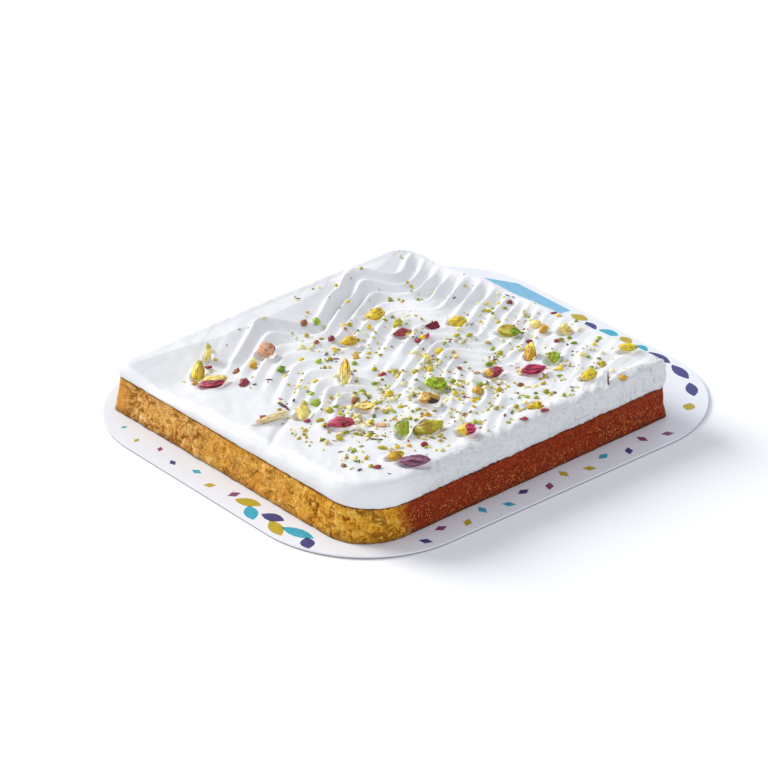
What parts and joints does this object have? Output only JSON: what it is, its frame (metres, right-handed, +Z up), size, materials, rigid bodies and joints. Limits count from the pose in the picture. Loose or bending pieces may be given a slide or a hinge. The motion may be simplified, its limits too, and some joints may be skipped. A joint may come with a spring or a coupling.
{
  "type": "basbousa slab on a board",
  "caption": "Square slab of semolina cake with a browned crust, topped with combed whipped cream and chopped pistachios, on a thin rounded card board.",
  "frame": {"origin": "under the middle of the board, on the ground", "axes": "+Z up, +Y along the board's longer side towards the back; the golden face of the cake looks along -Y and the browned face along +X"},
  "size_m": [0.27, 0.314, 0.0458],
  "materials": {
    "card": "satin",
    "semolina": "matte",
    "cream": "satin",
    "nut_green": "satin",
    "nut_skin": "satin"
  },
  "bodies": {
    "root": {"bar_maroon": "nut_skin", "board": "card", "cake": "semolina", "chopped_green": "nut_green", "chunk_green_front": "nut_green", "chunk_green_right": "nut_green", "chunk_maroon_left": "nut_skin", "chunk_olive_right": "nut_green", "chunk_pale_front": "nut_green", "chunk_star_right": "nut_green", "chunk_yellow_back": "nut_green", "chunk_yellow_left": "nut_green", "cream": "cream", "flake_maroon": "nut_skin", "half_brown_right": "nut_skin", "half_open_front": "nut_green", "half_open_left": "nut_green", "half_orange_front": "nut_green", "kernel_back_left": "nut_green", "kernel_broken": "nut_green", "kernel_green_back": "nut_green", "kernel_green_centre": "nut_green", "kernel_green_left": "nut_green", "kernel_magenta_front": "nut_skin", "kernel_magenta_right": "nut_skin", "kernel_olive_back": "nut_green", "kernel_purple_front": "nut_skin", "kernel_upright_centre": "nut_green", "kernel_upright_right": "nut_green", "nut_round_left": "nut_skin", "shell_orange": "nut_green", "sliver_beige": "nut_green", "sliver_green_left": "nut_green"}
  },
  "joints": []
}
